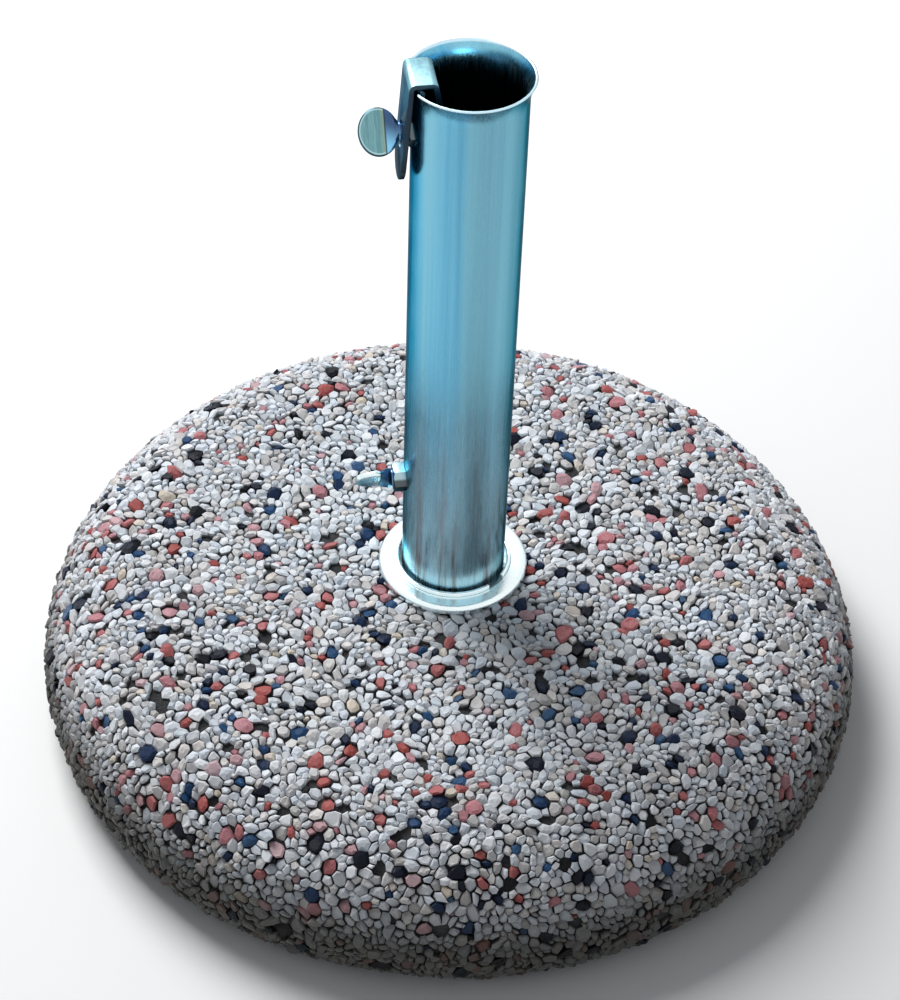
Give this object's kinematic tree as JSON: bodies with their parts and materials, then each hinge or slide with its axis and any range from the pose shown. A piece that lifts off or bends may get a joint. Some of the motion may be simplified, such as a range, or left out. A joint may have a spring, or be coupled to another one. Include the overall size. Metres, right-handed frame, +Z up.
{
  "type": "parasol base",
  "caption": "Round washed-concrete parasol base with an upright zinc-plated pole socket, a strap clamp at its rim and two thumb screws.",
  "frame": {"origin": "centre of the slab's underside, on the ground", "axes": "+Z up along the upright; +X and +Y level, with the thumb screws on the -X side, 12 degrees towards -Y"},
  "size_m": [0.43, 0.43, 0.3831],
  "materials": {
    "washed_concrete": "exposed aggregate of pale, red and dark chips in grey cement",
    "black_wire": "plain drawn steel, cast in",
    "zinc_tube": "bright zinc plating with fine lengthwise streaks",
    "zinc_bright": "bright zinc plating",
    "zinc_plate": "zinc plating, slightly dull",
    "zinc_screw": "zinc plating on forged heads"
  },
  "bodies": {
    "base": {"concrete_slab": "washed_concrete", "reinforcement_ring": "black_wire", "anchor_spokes": "black_wire", "anchor_sleeve": "zinc_tube", "sleeve_floor": "zinc_plate", "upright_tube": "zinc_tube", "flange_ring": "zinc_bright", "split_collar": "zinc_bright", "upper_weld_nut": "zinc_plate", "lower_weld_nut": "zinc_plate"},
    "strap": {"clamp_strap": "zinc_plate"},
    "upper_stud": {"upper_screw_stud": "zinc_screw"},
    "upper_head": {"upper_screw_head": "zinc_screw"},
    "lower_stud": {"lower_screw_stud": "zinc_screw"},
    "lower_head": {"lower_screw_head": "zinc_screw"}
  },
  "joints": [
    {"name": "strap_rock", "type": "hinge", "parent": "base", "child": "strap", "pos_m": [-0.02196, -0.00467, 0.38], "axis": [-0.2079, 0.9781, 0], "range_deg": [0, 12]},
    {"name": "upper_screw_feed", "type": "slide", "parent": "base", "child": "upper_stud", "axis": [-0.9781, -0.2079, 0], "range_m": [0, 0.00813]},
    {"name": "upper_screw_turn", "type": "hinge", "parent": "upper_stud", "child": "upper_head", "pos_m": [-0.03913, -0.00832, 0.3525], "axis": [-0.9781, -0.2079, 0], "range_deg": [0, 2340]},
    {"name": "lower_screw_feed", "type": "slide", "parent": "base", "child": "lower_stud", "axis": [-0.9781, -0.2079, 0], "range_m": [0, 0.0125]},
    {"name": "lower_screw_turn", "type": "hinge", "parent": "lower_stud", "child": "lower_head", "pos_m": [-0.03913, -0.00832, 0.143], "axis": [-0.9781, -0.2079, 0], "range_deg": [0, 3600]}
  ],
  "couplings": [
    {"joint": "upper_screw_feed", "follows": "upper_screw_turn", "m_per_rad": 0.00019894},
    {"joint": "strap_rock", "follows": "upper_screw_turn", "ratio": 0.0051282},
    {"joint": "lower_screw_feed", "follows": "lower_screw_turn", "m_per_rad": 0.00019894}
  ]
}
